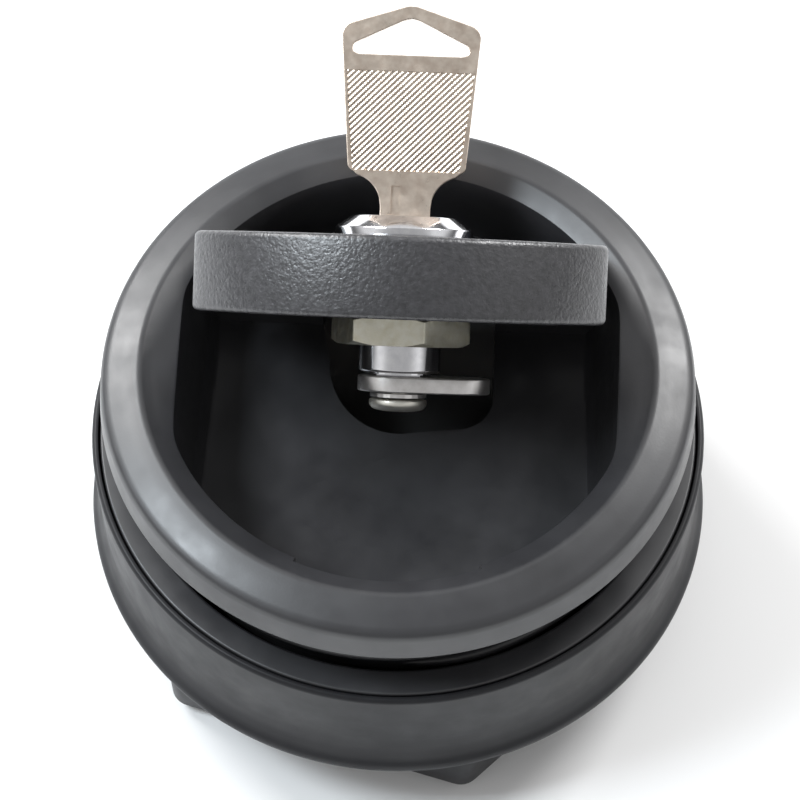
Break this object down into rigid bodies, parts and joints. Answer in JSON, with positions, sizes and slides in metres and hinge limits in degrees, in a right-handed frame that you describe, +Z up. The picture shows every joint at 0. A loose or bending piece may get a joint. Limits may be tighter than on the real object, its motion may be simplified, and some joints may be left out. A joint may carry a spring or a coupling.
{
  "type": "deck fill cap",
  "caption": "Round lockable screw cap with a recessed flip-up handle and keyed cam lock, on a flanged deck ring with a threaded tail and hexagonal clamp nut.",
  "frame": {"origin": "centre of the threaded tail's lower end, on the cap's axis", "axes": "+Z up along the cap's axis, out of the deck; -Y towards the side where the handle's free edge lies when closed; +X to the right as seen from that side"},
  "size_m": [0.1058, 0.1061, 0.0989],
  "materials": {
    "deck_ring": "satin",
    "seat_ring": "satin",
    "deck_gasket": "matte",
    "clamp_nut": "satin",
    "cap_o_ring": "matte",
    "slip_ring": "matte",
    "cap_body": "satin",
    "cap_cup": "matte",
    "cup_gasket": "matte",
    "hinge_pin": "polished",
    "handle": "fine sparkle texture",
    "lock_body": "polished",
    "lock_washer": "satin",
    "lock_nut": "dull nickel",
    "lock_plug": "polished",
    "lock_cam": "satin",
    "cam_washer": "satin",
    "cam_screw": "polished",
    "key": "nickel, knurled",
    "cup_screw_1": "polished",
    "cup_screw_2": "polished",
    "cup_screw_3": "polished",
    "cup_screw_4": "polished",
    "cup_screw_5": "polished",
    "cup_screw_6": "polished",
    "friction_washer_1": "matte",
    "friction_washer_2": "matte",
    "wafer_1": "plain",
    "wafer_2": "plain",
    "wafer_3": "plain",
    "wafer_4": "plain",
    "wafer_5": "plain"
  },
  "bodies": {
    "base": {"deck_ring": "deck_ring", "seat_ring": "seat_ring", "deck_gasket": "deck_gasket", "clamp_nut": "clamp_nut"},
    "cap_seal": {"cap_o_ring": "cap_o_ring", "slip_ring": "slip_ring"},
    "cap": {"cap_body": "cap_body", "cap_cup": "cap_cup", "cup_gasket": "cup_gasket", "hinge_pin": "hinge_pin", "friction_washer_1": "friction_washer_1", "friction_washer_2": "friction_washer_2", "cup_screw_1": "cup_screw_1", "cup_screw_2": "cup_screw_2", "cup_screw_3": "cup_screw_3", "cup_screw_4": "cup_screw_4", "cup_screw_5": "cup_screw_5", "cup_screw_6": "cup_screw_6"},
    "handle": {"handle": "handle", "lock_body": "lock_body", "lock_washer": "lock_washer", "lock_nut": "lock_nut"},
    "lock_core": {"lock_plug": "lock_plug", "lock_cam": "lock_cam", "cam_washer": "cam_washer", "cam_screw": "cam_screw", "wafer_1": "wafer_1", "wafer_2": "wafer_2", "wafer_3": "wafer_3", "wafer_4": "wafer_4", "wafer_5": "wafer_5"},
    "key": {"key": "key"}
  },
  "joints": [
    {"name": "cap_lift", "type": "slide", "parent": "base", "child": "cap_seal", "axis": [0, 0, 1], "range_m": [-0.0098, 0.001]},
    {"name": "cap_turn", "type": "hinge", "parent": "cap_seal", "child": "cap", "pos_m": [0, 0, 0.05], "axis": [0, 0, 1], "range_deg": [-184.7, 17]},
    {"name": "handle_lift", "type": "hinge", "parent": "cap", "child": "handle", "pos_m": [0.00101, 0.02228, 0.0468], "axis": [-0.999, 0.0454, 0], "range_deg": [-56.76, 2.5]},
    {"name": "lock_turn", "type": "hinge", "parent": "handle", "child": "lock_core", "pos_m": [0.00074, 0.0162, 0.05608], "axis": [0.0379, 0.8355, 0.5481], "range_deg": [-90, 0]},
    {"name": "key_slide", "type": "slide", "parent": "lock_core", "child": "key", "axis": [0.0379, 0.8355, 0.5481], "range_m": [0, 0.025]}
  ],
  "couplings": [
    {"joint": "cap_lift", "follows": "cap_turn", "m_per_rad": 0.0030239}
  ]
}
